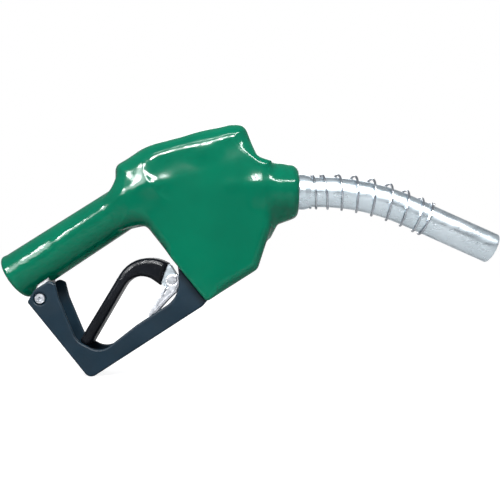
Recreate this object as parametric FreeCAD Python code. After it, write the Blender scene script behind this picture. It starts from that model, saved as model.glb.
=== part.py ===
"""Automatic shut-off fuel nozzle with a vinyl cover, lever guard and bent spout.

Millimetres. The origin is the centre of the hose inlet's mouth. +X runs to the right
along the base of the spout, +Z is up, and the nozzle is symmetric about the XZ plane.
"""
import math
import os

import FreeCAD
import Part

V = FreeCAD.Vector
X_AXIS, Y_AXIS, Z_AXIS = V(1, 0, 0), V(0, 1, 0), V(0, 0, 1)

# Handle and hose inlet
HANDLE_ANGLE = 32.9          # handle axis above the horizontal
HANDLE_R_REAR = 18.6         # cover radius at the inlet
HANDLE_R_FRONT = 16.9        # cover radius where the handle meets the body
HANDLE_LENGTH = 125.0
COVER_WALL = 2.3
INLET_R = 12.1
INLET_DEPTH = 20.0
HANDLE_BORE_R = 9.5

# Body
BODY_HALF_WIDTH = 23.0
BODY_EDGE_R = 6.0
SLOT_HALF_WIDTH = 12.7       # slot for the lever, between the body's two cheeks

# Spout
SPOUT_Z = 68.4
SPOUT_R = 12.0
SPOUT_WALL = 1.5
SPOUT_START_X = 214.0
SPOUT_BEND_X = 241.0
SPOUT_BEND_R = 175.0
SPOUT_BEND_ANGLE = 24.2
SPOUT_TIP_LENGTH = 72.0
COLLAR_R = 21.7
COLLAR_END_X = 224.6
ADAPTER_R = 16.0
ADAPTER_END_X = 233.6

# Valves: both stems are parallel and tilted, the lever turns on the plunger's foot
VALVE_TILT = 16.0
FULCRUM = V(178.0, 0, 9.0)
ARM = 44.0
PACKING_R = 5.5

# Lever, guard and clip
LEVER_HALF_WIDTH = 6.0
SLEEVE_HALF_WIDTH = 10.0
GUARD_HALF_WIDTH = 15.5
GUARD_WALL = 3.0
CLIP_PIVOT = V(125.6, 0, -0.9)
CLIP_INNER_Y = 7.0
CLIP_PLATE = 1.2
REAR_SCREW = V(24.5, 0, -15.3)
FRONT_SCREW = V(150.0, 0, 2.0)

RUNNING = 0.05               # radial clearance of a sliding fit


def save(name, shape):
    """Write one named piece."""
    shape.exportStep("parts/" + name + ".step")


def place(shape, origin, angle):
    """Turn local +Z by angle about Y, then move the local origin to a point."""
    placed = shape.copy()
    placed.Placement = FreeCAD.Placement(origin, FreeCAD.Rotation(Y_AXIS, angle))
    return placed


def on_plunger(shape):
    return place(shape, FULCRUM, -VALVE_TILT)


def main_foot():
    """The point of the main valve's axis level with the fulcrum."""
    tilt = math.radians(VALVE_TILT)
    return FULCRUM - V(math.cos(tilt), 0, math.sin(tilt)) * ARM


def on_main(shape):
    return place(shape, main_foot(), -VALVE_TILT)


def on_spout_base(shape):
    return place(shape, V(0, 0, SPOUT_Z), 90)


def on_handle(shape):
    return place(shape, V(0, 0, 0), 90 - HANDLE_ANGLE)


def turned(points):
    """Solid of revolution about Z from (radius, height) points."""
    corners = [V(r, 0, s) for r, s in points]
    face = Part.Face(Part.makePolygon(corners + corners[:1]))
    return face.revolve(V(0, 0, 0), Z_AXIS, 360)


def ring(r_out, r_in, s0, s1):
    return turned([(r_in, s0), (r_out, s0), (r_out, s1), (r_in, s1)])


def rod(radius, s0, s1):
    return Part.makeCylinder(radius, s1 - s0, V(0, 0, s0))


def torus(radius, wire_r, s):
    return Part.makeTorus(radius, wire_r, V(0, 0, s))


def hexagon(radius, s0, s1):
    corners = [V(radius * math.cos(k * math.pi / 3), radius * math.sin(k * math.pi / 3), s0)
               for k in range(7)]
    return Part.Face(Part.makePolygon(corners)).extrude(V(0, 0, s1 - s0))


def cross_rod(point, radius, y0, y1):
    """Cylinder along Y through a point."""
    return Part.makeCylinder(radius, y1 - y0, V(point.x, y0, point.z), Y_AXIS)


def wound_wire(points, wire_r, sides=6):
    """Closed solid with flat facets around a wire that follows points."""
    rings, across = [], X_AXIS + Z_AXIS * 0.3
    for i, point in enumerate(points):
        along = points[min(i + 1, len(points) - 1)] - points[max(i - 1, 0)]
        along.normalize()
        across = across - along * across.dot(along)
        across.normalize()
        beside = along.cross(across)
        turns = [2 * math.pi * k / sides for k in range(sides)]
        rings.append([point + (across * math.cos(t) + beside * math.sin(t)) * wire_r
                      for t in turns])
    faces = [Part.Face(Part.makePolygon(end + end[:1])) for end in (rings[0], rings[-1])]
    for near, far in zip(rings, rings[1:]):
        for k in range(sides):
            after = (k + 1) % sides
            faces.append(Part.Face(Part.makePolygon([near[k], near[after], far[k], near[k]])))
            faces.append(Part.Face(Part.makePolygon([near[after], far[after], far[k],
                                                     near[after]])))
    return Part.makeSolid(Part.makeShell(faces))


def coil(radius, wire_r, s0, s1, turns, steps=12):
    """Compression spring standing on Z between two heights."""
    rise = s1 - s0 - 2 * wire_r
    points = []
    for k in range(turns * steps + 1):
        angle = 2 * math.pi * k / steps
        height = s0 + wire_r + rise * k / (turns * steps)
        points.append(V(radius * math.cos(angle), radius * math.sin(angle), height))
    return wound_wire(points, wire_r)


def outline(points):
    """Closed XZ wire through (x, z, corner radius) points, with round corners."""
    arcs, ends = {}, []
    count = len(points)
    for i in range(count):
        x, z, radius = points[i]
        here = V(x, 0, z)
        before = V(points[i - 1][0], 0, points[i - 1][1]) - here
        after = V(points[(i + 1) % count][0], 0, points[(i + 1) % count][1]) - here
        before.normalize()
        after.normalize()
        if radius == 0:
            ends.append((here, here))
            continue
        half = before.getAngle(after) / 2
        reach = radius / math.tan(half)
        middle = before + after
        middle.normalize()
        crown = here + middle * (radius / math.sin(half) - radius)
        start, end = here + before * reach, here + after * reach
        arcs[i] = Part.Arc(start, crown, end).toShape()
        ends.append((start, end))
    run = []
    for i in range(count):
        if i in arcs:
            run.append(arcs[i])
        run.append(Part.makeLine(ends[i][1], ends[(i + 1) % count][0]))
    return Part.Wire(run)


def slab(wire, y0, y1):
    """Extrude an XZ wire between two Y values."""
    face = Part.Face(wire)
    face.translate(V(0, y0, 0))
    return face.extrude(V(0, y1 - y0, 0))


def plate(points, half_width):
    return slab(outline(points), -half_width, half_width)


def soften(solid, radius, half_width):
    """Round the edges that border the two side faces."""
    rim = [e for e in solid.Edges
           if all(abs(abs(v.Y) - half_width) < 1e-6 for v in e.Vertexes)
           and abs(abs(e.CenterOfMass.y) - half_width) < 1e-6]
    return solid.makeFillet(radius, rim)


# ---------------------------------------------------------------- body and cover

BODY_OUTLINE = [
    (80.5, 62, 0), (80.5, 88.6, 7.5), (109, 104.6, 40), (171, 120.0, 12),
    (182.5, 120.0, 8), (192.5, 94.5, 8), (203, 91.0, 0), (203, 40.0, 12), (192.5, 7.5, 8),
    (153.6, -17.2, 7.2), (104, 43.5, 12), (88, 34, 0)]


def body_form(inset, tail=0):
    """Outer form of handle, body and collar, moved inwards, with a tail behind the inlet."""
    wire = outline(BODY_OUTLINE)
    if inset:
        wire = Part.Face(wire).makeOffset2D(-inset).OuterWire
    half = BODY_HALF_WIDTH - inset
    block = soften(slab(wire, -half, half), BODY_EDGE_R - inset, half)
    rear, front = HANDLE_R_REAR - inset, HANDLE_R_FRONT - inset
    handle = on_handle(turned([(0, -tail), (rear, -tail), (rear, 0), (front, HANDLE_LENGTH),
                               (0, HANDLE_LENGTH)]))
    end = COLLAR_END_X - inset
    collar = on_spout_base(turned([
        (0, 190), (COLLAR_R - inset, 190), (COLLAR_R - inset, end - 4), (COLLAR_R - 4 - inset, end),
        (0, end)]))
    return block.fuse([handle, collar]).removeSplitter()


def lever_slot():
    """Space between the cheeks that the lever, the clevis and the guard's ears use."""
    roof = [(106, 16, 0), (113, 32, 0), (121, 28.1, 0), (131.8, 31.1, 0), (135.6, 17.8, 0),
            (166, 17.0, 0), (176, 20.6, 0), (192, 25.2, 0), (194.5, -20, 0), (140, -40, 0),
            (100, 0, 0)]
    return plate(roof, SLOT_HALF_WIDTH)


def flow_path():
    """Bores for the inlet, main valve, plunger, diaphragm and outlet."""
    inlet = on_handle(rod(INLET_R, -1, INLET_DEPTH).fuse(rod(HANDLE_BORE_R, 0, 126)))
    main = on_main(rod(14.0, 60.5, 112).fuse([rod(11.0, 47, 70), rod(3.6, 30, 50),
                                             rod(PACKING_R, 32, 42), rod(17.1, 94, 112)]))
    outlet = on_spout_base(rod(11.5, 128, 230).fuse([rod(13.2, 189, 230),
                                                    rod(ADAPTER_R, 202, 230)]))
    column = on_plunger(rod(8.2, 42, 78))
    plunger = on_plunger(rod(8.2, 10, 42).fuse([rod(4.5 + RUNNING, 40, 80), rod(12, 76.6, 100),
                                               rod(10.4, 8, 15), rod(26, 97, 125)]))
    return [inlet, main, outlet.cut(column), plunger]


def rear_lug():
    """Lug under the handle that the guard's rear screw goes through."""
    lug = plate([(18.5, -9.5, 4), (27.5, 8, 0), (38, 12, 0), (34.5, -4, 0), (30.5, -20.5, 5),
                 (19.5, -20.5, 5)], 9.4)
    return lug.cut(on_handle(rod(HANDLE_R_FRONT - COVER_WALL, -5, 60)))


def vacuum_screws(radius, s0, s1):
    """Four cylinders on the vacuum cap's screw circle."""
    made = []
    for k in range(4):
        turn = math.radians(45 + 90 * k)
        middle = V(17 * math.cos(turn), 17 * math.sin(turn), s0)
        made.append(Part.makeCylinder(radius, s1 - s0, middle))
    return made


def body_casting():
    casting = body_form(COVER_WALL).fuse(rear_lug())
    cuts = flow_path() + [lever_slot(), cross_rod(REAR_SCREW, 3.0, -30, 30)]
    cuts += [cross_rod(FRONT_SCREW, 2.6, -30, 30), cross_rod(FRONT_SCREW, 4.6, -30, -17.7),
             cross_rod(FRONT_SCREW, 4.6, 17.7, 30)]
    cuts.append(on_plunger(Part.makeCompound(vacuum_screws(1.5, 88, 100))))
    cuts.append(on_plunger(torus(5.6, 1.1, 48)))
    cuts.append(on_spout_base(torus(ADAPTER_R, 1.0, 219)))
    cuts.append(retaining_hole())
    return casting.cut(cuts).removeSplitter()


def retaining_hole():
    """Threaded hole under the collar for the screw that keeps the spout in."""
    return Part.makeCylinder(2.0, 12, V(209, 0, SPOUT_Z - 26))


def body_cover():
    shell = body_form(0).cut(body_form(COVER_WALL, 3))
    return shell.cut([rear_lug(), lever_slot(), on_spout_base(rod(14.6, 215, 240))])


def front_screws():
    """Two short screws that hold the guard's ears to the cheeks."""
    one = cross_rod(FRONT_SCREW, 4.4, 17.8, 20.4).fuse(cross_rod(FRONT_SCREW, 2.5, 9.8, 18))
    one = one.cut(cross_rod(FRONT_SCREW, 1.6, 19, 21))
    return Part.makeCompound([one, one.mirror(V(0, 0, 0), Y_AXIS)])


# ---------------------------------------------------------------- guard

GUARD_OUTER = [
    (14.6, -18.0, 2), (20, -8.6, 2), (31, -1.4, 4), (35.8, -3.6, 0), (70, 0, 0), (118, 0, 0),
    (129.9, 11.3, 0), (153.2, -17.2, 1), (150.2, -21.0, 6), (62.8, -77.4, 6)]
GUARD_HAND_EDGE = [
    (35.8, -3.0, 0), (39, -15.5, 0), (52.5, -47.5, 14), (71, -57.5, 14), (99, -35.6, 0),
    (131.5, -14.5, 22), (131.8, 1.0, 0), (130.3, 13.5, 0), (80, 22, 0)]
GUARD_CHANNEL = [
    (15.5, -20, 0), (22, 4, 0), (60, 10, 0), (132, 18, 0), (170, -20, 0), (150.8, -16.8, 4),
    (62.6, -73.6, 4)]


def lever_guard():
    walls = plate(GUARD_OUTER, GUARD_HALF_WIDTH).cut(plate(GUARD_HAND_EDGE, 30))
    inner = GUARD_HALF_WIDTH - GUARD_WALL
    guard = walls.cut(plate(GUARD_CHANNEL, inner))
    ear = plate([(139, -2, 0), (145, 6.5, 0), (156, 8, 3), (156, -8, 3), (147, -14, 3)], inner)
    ear = ear.cut(plate([(120, -40, 0), (120, 40, 0), (180, 40, 0), (180, -40, 0)], inner - 3))
    guard = guard.fuse(ear)
    boss = cross_rod(REAR_SCREW, 6.0, -inner - 0.5, inner + 0.5).cut(
        cross_rod(REAR_SCREW, 7.0, -9.5, 9.5))
    guard = guard.fuse(boss)
    holes = [cross_rod(REAR_SCREW, 3.0 + RUNNING, -30, 30), cross_rod(FRONT_SCREW, 2.5, -30, 30),
             cross_rod(REAR_SCREW, 5.0, -30, -13.2), cross_rod(REAR_SCREW, 5.9, 12.2, 30)]
    return guard.cut(holes).removeSplitter()


def guard_rear_screw():
    shank = cross_rod(REAR_SCREW, 3.0, -13.2, 15.2)
    head = cross_rod(REAR_SCREW, 3.7, -15.6, -13.2)
    key = hexagon(1.7, 0, 2)
    key.Placement = FreeCAD.Placement(V(REAR_SCREW.x, -15.7, REAR_SCREW.z),
                                      FreeCAD.Rotation(X_AXIS, -90))
    return shank.fuse(head).cut(key)


def guard_rear_nut():
    nut = hexagon(5.6, 0, 2.8)
    nut.Placement = FreeCAD.Placement(V(REAR_SCREW.x, 12.2, REAR_SCREW.z),
                                      FreeCAD.Rotation(X_AXIS, -90))
    return nut.cut(cross_rod(REAR_SCREW, 3.0, 10, 20))


def hold_open_rack():
    """Notched strip on the floor of the guard's channel."""
    teeth = [(110.5, -41.0, 0), (112.5, -33.5, 0), (114.0, -30.8, 0.6), (116.2, -32.3, 0),
             (117.8, -27.6, 0.6), (120.2, -29.2, 0), (122.2, -22.4, 0.6), (126.0, -21.0, 1.5),
             (133.0, -27.0, 0)]
    return plate(teeth, 2.5).cut(guard_floor())


def guard_floor():
    """Everything beyond the inner face of the guard's lower web."""
    return plate([(62.6, -73.6, 0), (150.8, -16.8, 0), (150.8, -90, 0)], 30)


# ---------------------------------------------------------------- lever, sleeve and clip

SLEEVE_OUTLINE = [
    (52.5, -49.5, 4.2), (98.3, 26.2, 27), (122.4, 11.7, 0), (116.4, -5.4, 0),
    (96.6, 8.6, 15.6), (59.5, -55.5, 4.2)]
ARM_OUTLINE = [
    (57.5, -47.5, 2), (98.2, 20.5, 22), (123.9, 10.2, 3), (129.0, 1.9, 1.5), (172, 14.4, 0),
    (182, 13.0, 0), (182, 4.0, 0), (176, 1.8, 0), (150, -3.2, 0), (131, -8.3, 6),
    (121.5, -9.2, 3), (113.5, 0.6, 0), (97.3, 13.6, 17), (60.5, -50.5, 2)]


def lever_arm():
    arm = plate(ARM_OUTLINE, LEVER_HALF_WIDTH)
    arm = arm.cut(plate([(172, 30, 0), (200, 30, 0), (200, -10, 0), (172, -10, 0)], 30))
    arm = arm.fuse(cross_rod(FULCRUM, 7.2, -LEVER_HALF_WIDTH, LEVER_HALF_WIDTH))
    return arm.cut([cross_rod(FULCRUM, 2.5 + RUNNING, -20, 20),
                    cross_rod(CLIP_PIVOT, 1.8, -20, 20)]).removeSplitter()


def lever_sleeve():
    sleeve = soften(plate(SLEEVE_OUTLINE, SLEEVE_HALF_WIDTH), 3.6, SLEEVE_HALF_WIDTH)
    return sleeve.cut(plate(ARM_OUTLINE, LEVER_HALF_WIDTH))


def lever_pin():
    return cross_rod(FULCRUM, 2.5, -11.6, 11.6)


def lever_pin_clips():
    """Two retaining rings at the pin's ends."""
    one = cross_rod(FULCRUM, 4.2, 10.2, 11.0).cut(cross_rod(FULCRUM, 2.5, 10, 12))
    return Part.makeCompound([one, one.mirror(V(0, 0, 0), Y_AXIS)])


CLIP_OUTLINE = [
    (120.4, -2.5, 0), (121.6, 2.4, 4.0), (127.2, 3.4, 2.0), (130.3, 2.4, 0), (131.4, -4.5, 5),
    (129.2, -10.5, 10), (121.4, -17.8, 20), (107.6, -33.4, 0.8), (104.6, -33.0, 0.8),
    (119.3, -6.4, 0.6), (121.3, -6.6, 0)]


def hold_open_clip():
    """Two matching side plates joined by a bend, with a bar at the tip."""
    width = CLIP_INNER_Y + CLIP_PLATE
    side = plate(CLIP_OUTLINE, width)
    slit = plate([(122.6, -5.8, 0), (119.6, -11.8, 0), (118.8, -11.4, 0), (121.8, -5.4, 0)], 30)
    gap = plate([(90, -50, 0), (90, 20, 0), (140, 20, 0), (140, -50, 0)], CLIP_INNER_Y)
    bend = plate([(115.0, -14.6, 0), (116.4, -15.4, 0), (109.2, -28.6, 0), (107.8, -27.8, 0)],
                 width)
    bar = cross_rod(V(106.6, 0, -31.6), 1.3, -width, width)
    clip = side.cut([slit, gap]).fuse([bend, bar])
    return clip.cut(cross_rod(CLIP_PIVOT, 2.0 + RUNNING, -20, 20)).removeSplitter()


def clip_rivet():
    shank = cross_rod(CLIP_PIVOT, 2.0, -8.3, 8.3).cut(
        cross_rod(CLIP_PIVOT, 3.0, -LEVER_HALF_WIDTH, LEVER_HALF_WIDTH))
    core = cross_rod(CLIP_PIVOT, 1.8, -LEVER_HALF_WIDTH, LEVER_HALF_WIDTH)
    heads = [cross_rod(CLIP_PIVOT, 3.4, 8.25, 9.2), cross_rod(CLIP_PIVOT, 3.4, -9.2, -8.25)]
    return shank.fuse([core] + heads).removeSplitter()


def clip_spring():
    """Light torsion spring on the rivet's far side, with one leg on the clip's bend."""
    turn = Part.makeTorus(2.9, 0.35, CLIP_PIVOT + V(0, 6.5, 0), Y_AXIS)
    leg = Part.makeCylinder(0.35, 15.5, CLIP_PIVOT + V(-2.9, 6.5, 0), V(-0.42, 0, -0.9))
    return turn.fuse(leg)


# ---------------------------------------------------------------- main valve

def main_valve_cap():
    cap = turned([(0, 98), (10, 98), (10, 94.2), (13.9, 94.2), (13.9, 98), (17, 98),
                  (17, 101.5), (9, 104.5), (0, 104.5)])
    return on_main(cap.cut(hexagon(5, 101.5, 110)))


def main_stem():
    tip = Part.makeSphere(2.0, V(0, 0, 9.3))
    stem = rod(3.0, 24, 66).fuse([tip, rod(2.0, 9.3, 24), rod(2.0, 66, 73)])
    return on_main(stem.removeSplitter())


def stem_packing():
    """Packing around the stem, pressed by the packing nut."""
    return on_main(ring(PACKING_R, 3.0 + RUNNING, 38, 42))


def packing_nut():
    return on_main(ring(PACKING_R, 3.0 + RUNNING, 34, 38))


# ---------------------------------------------------------------- plunger and latch

def plunger_clevis():
    slot = plate([(-15, -24, 0), (-15, 12.4, 0), (-3, 8.2, 0), (15, 8.2, 0), (15, -24, 0)],
                 LEVER_HALF_WIDTH + 0.15)
    clevis = on_plunger(rod(9.8, -7, 14).cut([slot, rod(3.0, 10.5, 15)]))
    return clevis.cut(cross_rod(FULCRUM, 2.5, -20, 20))


def plunger_rod():
    return on_plunger(turned([(0, 10.5), (3.0, 10.5), (3.0, 14), (4.5, 14), (4.5, 36), (7.4, 36),
                              (7.4, 39), (4.5, 39), (4.5, 83), (3, 83), (3, 86), (0, 86)]))


def ball_directions():
    """Three unit vectors around the plunger's axis, in its own frame."""
    return [V(math.cos(a), math.sin(a), 0) for a in (0, 2 * math.pi / 3, 4 * math.pi / 3)]


BALL_LEVEL = 91.0
BALL_R = 2.0
BALL_CENTRE_R = 7.1


def ball_cage():
    cage = turned([(3, 83), (7.4, 83), (7.4, 94), (5, 94), (5, 86), (3, 86)])
    holes = [Part.makeCylinder(BALL_R + RUNNING, 10, d * 2 + V(0, 0, BALL_LEVEL), d)
             for d in ball_directions()]
    return on_plunger(cage.cut(holes))


def latch_sleeve():
    """Hardened sleeve whose tapered bore pushes the balls in as the plunger drops."""
    return on_plunger(turned([(7.8, 76.6), (12, 76.6), (12, 93.5), (9.9, 93.5), (7.8, 84.6)]))


def latch_pin():
    return on_plunger(turned([(0, 89.6), (4.2, 89.6), (4.95, 90.6), (4.95, 95.4), (2, 95.4),
                              (2, 101.8), (0, 101.8)]))


def latch_ball(direction):
    return on_plunger(Part.makeSphere(BALL_R, direction * BALL_CENTRE_R + V(0, 0, BALL_LEVEL)))


def diaphragm():
    disc = turned([(2, 97), (20.4, 97), (20.4, 98.2), (2, 98.2)])
    return on_plunger(disc.cut(vacuum_screws(1.6, 90, 100)))


def diaphragm_plates():
    lower = ring(10, 2, 95.6, 97)
    upper = ring(10, 2, 98.2, 99.4)
    return on_plunger(Part.makeCompound([lower, upper]))


def vacuum_cap():
    cap = turned([(14, 98.2), (20.4, 98.2), (20.4, 101), (16.5, 105.8), (0, 105.8), (0, 104.6),
                  (14, 104.6)])
    seats = vacuum_screws(3.0, 102.2, 112)
    return on_plunger(cap.cut(vacuum_screws(1.6, 90, 112) + seats))


def vacuum_cap_screws():
    shanks = vacuum_screws(1.5, 90, 102.2)
    heads = vacuum_screws(2.8, 102.2, 104.6)
    return on_plunger(Part.makeCompound([s.fuse(h) for s, h in zip(shanks, heads)]))


# ---------------------------------------------------------------- check valve and spout

def check_poppet():
    return on_spout_base(turned([(0, 188), (3, 189), (9.6, 194.4), (9.6, 196), (2, 197.5), (2, 206),
                                 (0, 206)]))


def check_guide():
    hub = ring(3.6, 2 + RUNNING, 202.5, 205).fuse(ring(13, 10.5, 202.5, 205))
    spokes = [Part.makeBox(9, 2, 2.5, V(2.8, -1, 202.5)) for _ in range(3)]
    for k, spoke in enumerate(spokes):
        spoke.rotate(V(0, 0, 0), Z_AXIS, 60 + 120 * k)
    return on_spout_base(hub.fuse(spokes).removeSplitter())


def spout_adapter():
    adapter = turned([(SPOUT_R, 207), (ADAPTER_R, 207), (ADAPTER_R, 221.4), (14, 221.4),
                      (14, 229.5), (12.9, ADAPTER_END_X), (SPOUT_R, ADAPTER_END_X)])
    cuts = [torus(ADAPTER_R, 1.0, 219), torus(SPOUT_R, 0.9, 222)]
    return on_spout_base(adapter.cut(cuts)).cut(retaining_hole())


def spout_line(radius_out, radius_in, drop, start, end_cut):
    """Tube along the spout's route: straight, bend, straight; drop moves it below the axis."""
    def section(r):
        straight = on_spout_base(rod(r, start, SPOUT_BEND_X))
        straight.translate(V(0, 0, -drop))
        middle = V(SPOUT_BEND_X, 0, SPOUT_Z - SPOUT_BEND_R)
        disc = Part.Face(Part.Wire(Part.makeCircle(r, V(SPOUT_BEND_X, 0, SPOUT_Z - drop), X_AXIS)))
        bend = disc.revolve(middle, Y_AXIS, SPOUT_BEND_ANGLE)
        tip = Part.makeCylinder(r, SPOUT_TIP_LENGTH - end_cut,
                                V(SPOUT_BEND_X, 0, SPOUT_Z - drop), X_AXIS)
        tip.rotate(middle, Y_AXIS, SPOUT_BEND_ANGLE)
        return straight.fuse([bend, tip]).removeSplitter()
    return section(radius_out).cut(section(radius_in)) if radius_in else section(radius_out)


def along_tip(shape, distance):
    """Move a shape from the bend's start to a distance past its end."""
    moved = shape.copy()
    moved.translate(V(SPOUT_BEND_X + distance, 0, SPOUT_Z))
    moved.rotate(V(SPOUT_BEND_X, 0, SPOUT_Z - SPOUT_BEND_R), Y_AXIS, SPOUT_BEND_ANGLE)
    return moved


VENT_DROP = 7.9
VENT_END = 20.0              # sensing port's distance from the tip
COIL_SEAT = 14.6             # from the bend's end to the shallow groove for the coil's end
COIL_GROOVE = 2.6            # width of that groove


def sensing_port():
    """Small hole through the underside of the spout."""
    return along_tip(Part.makeCylinder(1.5, 8, V(0, 0, -SPOUT_R - 1)), SPOUT_TIP_LENGTH - VENT_END)


def spout_tube():
    tube = spout_line(SPOUT_R, SPOUT_R - SPOUT_WALL, 0, SPOUT_START_X, 0)
    lip = [e for e in tube.Edges if e.BoundBox.XMin > 370 and e.Length > 2 * math.pi * 10]
    around = Part.makeCylinder(SPOUT_R + 1, COIL_GROOVE, V(0, 0, 0), X_AXIS)
    groove = around.cut(Part.makeCylinder(SPOUT_R - 0.3, COIL_GROOVE, V(0, 0, 0), X_AXIS))
    return tube.makeFillet(0.6, lip).cut([sensing_port(), along_tip(groove, COIL_SEAT)])


def vent_tube():
    return spout_line(2.4, 1.7, VENT_DROP, 216, VENT_END + 3)


def vent_fitting():
    block = Part.makeCylinder(2.6, 6, V(-3, 0, -VENT_DROP), X_AXIS)
    bore = Part.makeCylinder(1.5, 3, V(-3, 0, -VENT_DROP), X_AXIS)
    port = Part.makeCylinder(1.5, 8, V(0, 0, -SPOUT_R - 1))
    return along_tip(block.cut([bore, port]), SPOUT_TIP_LENGTH - VENT_END)


COIL_WIRE_R = 0.95
COIL_START_X = 235.2
# Axis travel of each turn's top, from the turn before the wire starts; close at both ends
COIL_TOPS = [-0.9, 0.2, 7.6, 19.6, 31.8, 45.0, 58.4, 71.6, 84.6, 93.6, 95.6]
COIL_FIRST_TURN, COIL_LAST_TURN = -0.45, 9.05
COIL_STEPS = 20


def coil_travel(turns):
    """Axis travel of the wire after a number of turns."""
    index = min(int(math.floor(turns)) + 1, len(COIL_TOPS) - 2)
    share = turns + 1 - index
    return COIL_TOPS[index] + share * (COIL_TOPS[index + 1] - COIL_TOPS[index])


def coil_point(turns):
    """A point of the wire: it hugs the spout at both ends and stands off it in the bend."""
    travel, angle = coil_travel(turns), 2 * math.pi * turns
    belly = math.sin(math.pi * min(max((turns - 0.6) / 7.0, 0), 1))
    radius = SPOUT_R + COIL_WIRE_R + 0.12 + belly
    side = V(0, -math.sin(angle) * radius, math.cos(angle) * radius + 0.95 * belly)
    bend_length = math.radians(SPOUT_BEND_ANGLE) * SPOUT_BEND_R
    before_bend = SPOUT_BEND_X - COIL_START_X
    bent = min(max(travel - before_bend, 0), bend_length) / SPOUT_BEND_R
    straight = min(travel, before_bend) + max(travel - before_bend - bend_length, 0)
    start = V(COIL_START_X + straight, 0, SPOUT_Z) + side
    centre = V(SPOUT_BEND_X, 0, SPOUT_Z - SPOUT_BEND_R)
    return centre + FreeCAD.Rotation(Y_AXIS, math.degrees(bent)).multVec(start - centre)


def spout_coil_spring():
    """Wire wound around the spout's bend."""
    count = int((COIL_LAST_TURN - COIL_FIRST_TURN) * COIL_STEPS)
    points = [coil_point(COIL_FIRST_TURN + k / COIL_STEPS) for k in range(count + 1)]
    return wound_wire(points, COIL_WIRE_R, 8)


def write_all():
    os.makedirs("parts", exist_ok=True)
    save("body_casting", body_casting())
    save("body_cover", body_cover())
    save("lever_guard", lever_guard())
    save("guard_rear_screw", guard_rear_screw())
    save("guard_rear_nut", guard_rear_nut())
    save("guard_front_screws", front_screws())
    save("hold_open_rack", hold_open_rack())
    save("lever_arm", lever_arm())
    save("lever_sleeve", lever_sleeve())
    save("lever_pin", lever_pin())
    save("lever_pin_clips", lever_pin_clips())
    save("hold_open_clip", hold_open_clip())
    save("clip_rivet", clip_rivet())
    save("clip_spring", clip_spring())
    save("main_valve_cap", main_valve_cap())
    save("main_cap_oring", on_main(torus(15.6, 1.0, 97)))
    save("main_spring", on_main(coil(9.5, 0.9, 70.5, 94.2, 5)))
    save("main_poppet", on_main(ring(12, 2, 66, 70.5)))
    save("poppet_disc", on_main(ring(12.4, 3, 63, 66)))
    save("disc_retainer", on_main(ring(4.5, 2, 70.5, 73)))
    save("main_stem", main_stem())
    save("main_seat_ring", on_main(ring(14, 9.5, 60.5, 63)))
    save("stem_packing", stem_packing())
    save("packing_nut", packing_nut())
    save("plunger_rod", plunger_rod())
    save("plunger_clevis", plunger_clevis())
    save("plunger_spring", on_plunger(coil(6.2, 0.6, 21, 36, 5)))
    save("plunger_guide_nut", on_plunger(ring(8.2, 4.5 + RUNNING, 15, 21)))
    save("plunger_oring", on_plunger(torus(5.6, 1.0, 48)))
    save("ball_cage", ball_cage())
    save("latch_sleeve", latch_sleeve())
    save("latch_pin", latch_pin())
    for number, direction in enumerate(ball_directions(), 1):
        save("latch_ball_%d" % number, latch_ball(direction))
    save("diaphragm", diaphragm())
    save("diaphragm_plates", diaphragm_plates())
    save("diaphragm_nut", on_plunger(hexagon(4, 99.4, 101.6).cut(rod(2, 99, 103))))
    save("diaphragm_spring", on_plunger(coil(8.4, 0.5, 99.4, 104.6, 3)))
    save("vacuum_cap", vacuum_cap())
    save("vacuum_cap_screws", vacuum_cap_screws())
    save("check_seat_ring", on_spout_base(turned([(8.2, 189), (13.2, 189), (13.2, 194.4),
                                                  (9.8, 194.4), (8.2, 193)])))
    save("check_poppet", check_poppet())
    save("check_spring", on_spout_base(coil(4.6, 0.5, 197, 202.5, 3)))
    save("check_guide", check_guide())
    save("spout_adapter", spout_adapter())
    save("adapter_oring", on_spout_base(torus(ADAPTER_R, 0.95, 219)))
    save("spout_oring", on_spout_base(torus(SPOUT_R + 0.45, 0.45, 222)))
    save("spout_retaining_screw", Part.makeCylinder(2.0, 5.0, V(209, 0, SPOUT_Z - 19.2)))
    save("spout_tube", spout_tube())
    save("vent_tube", vent_tube())
    save("vent_fitting", vent_fitting())
    save("spout_coil_spring", spout_coil_spring())


write_all()
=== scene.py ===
"""Looks of the fuel nozzle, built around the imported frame.

Shapes are worked out in millimetres in the frame's own axes and turned into metres
when a mesh is made. Soft moulded parts are level sets of distance fields.
"""
import itertools
import math

import bpy
import numpy as np
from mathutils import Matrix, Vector


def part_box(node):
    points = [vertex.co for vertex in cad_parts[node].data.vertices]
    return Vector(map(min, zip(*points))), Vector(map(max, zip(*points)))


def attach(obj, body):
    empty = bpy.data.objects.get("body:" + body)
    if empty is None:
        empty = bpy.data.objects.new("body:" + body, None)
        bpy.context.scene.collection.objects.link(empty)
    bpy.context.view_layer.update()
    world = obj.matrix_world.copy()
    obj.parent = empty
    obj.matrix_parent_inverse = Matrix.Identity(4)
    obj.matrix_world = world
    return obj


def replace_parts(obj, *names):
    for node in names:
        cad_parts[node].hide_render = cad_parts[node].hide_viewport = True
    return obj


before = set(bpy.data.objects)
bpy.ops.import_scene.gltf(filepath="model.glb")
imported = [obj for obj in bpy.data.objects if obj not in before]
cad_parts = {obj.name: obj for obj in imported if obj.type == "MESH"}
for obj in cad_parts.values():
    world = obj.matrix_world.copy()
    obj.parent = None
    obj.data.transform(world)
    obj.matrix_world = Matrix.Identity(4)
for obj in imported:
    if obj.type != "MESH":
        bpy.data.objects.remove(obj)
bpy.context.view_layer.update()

MM = 0.001

# ------------------------------------------------------------------ shared dimensions (mm)

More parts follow.
